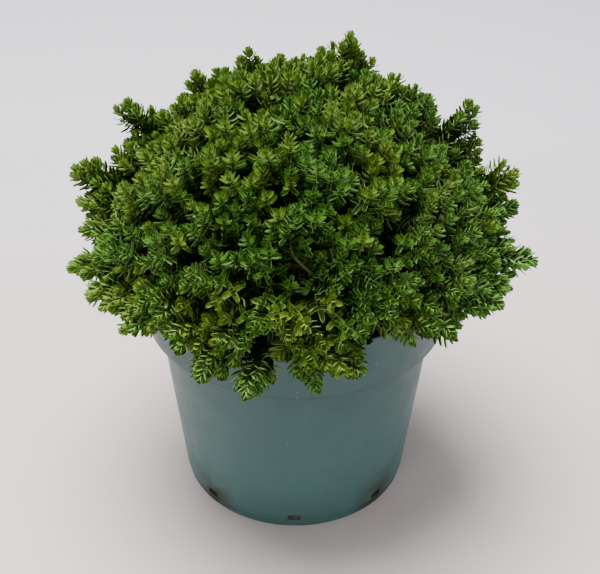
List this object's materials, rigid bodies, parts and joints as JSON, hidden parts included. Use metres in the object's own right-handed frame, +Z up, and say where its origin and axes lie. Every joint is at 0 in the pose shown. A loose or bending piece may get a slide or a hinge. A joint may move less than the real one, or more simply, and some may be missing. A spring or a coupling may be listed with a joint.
{
  "type": "potted hebe shrub",
  "caption": "Dense dome of small-leaved evergreen foliage on short forking boughs, in a round plastic pot with a stepped collar, filled with soil",
  "frame": {"origin": "middle of the flat underside of the pot", "axes": "+Z up, -Y to the front of the plant as the picture shows it, +X to its right"},
  "size_m": [0.1885, 0.1896, 0.1967],
  "materials": {
    "pot_plastic": "satin moulded plastic, grey-green",
    "soil": "damp dark peat, rough",
    "bark": "thin brown bark with leaf scars",
    "foliage": "small glossy leaves, lime green at the tips"
  },
  "bodies": {
    "root": {"pot": "pot_plastic", "soil": "soil", "stem": "bark", "bough_peak": "bark", "bough_upper_1": "bark", "bough_upper_2": "bark", "bough_upper_3": "bark", "bough_upper_4": "bark", "bough_upper_5": "bark", "bough_lower_1": "bark", "bough_lower_2": "bark", "bough_lower_3": "bark", "bough_lower_4": "bark", "bough_lower_5": "bark", "bough_lower_6": "bark", "bough_lower_7": "bark", "bough_lower_8": "bark", "bough_lower_9": "bark", "bough_lower_10": "bark", "foliage_peak": "foliage", "foliage_upper_1": "foliage", "foliage_upper_2": "foliage", "foliage_upper_3": "foliage", "foliage_upper_4": "foliage", "foliage_upper_5": "foliage", "foliage_lower_1": "foliage", "foliage_lower_2": "foliage", "foliage_lower_3": "foliage", "foliage_lower_4": "foliage", "foliage_lower_5": "foliage", "foliage_lower_6": "foliage", "foliage_lower_7": "foliage", "foliage_lower_8": "foliage", "foliage_lower_9": "foliage", "foliage_lower_10": "foliage"}
  },
  "joints": []
}
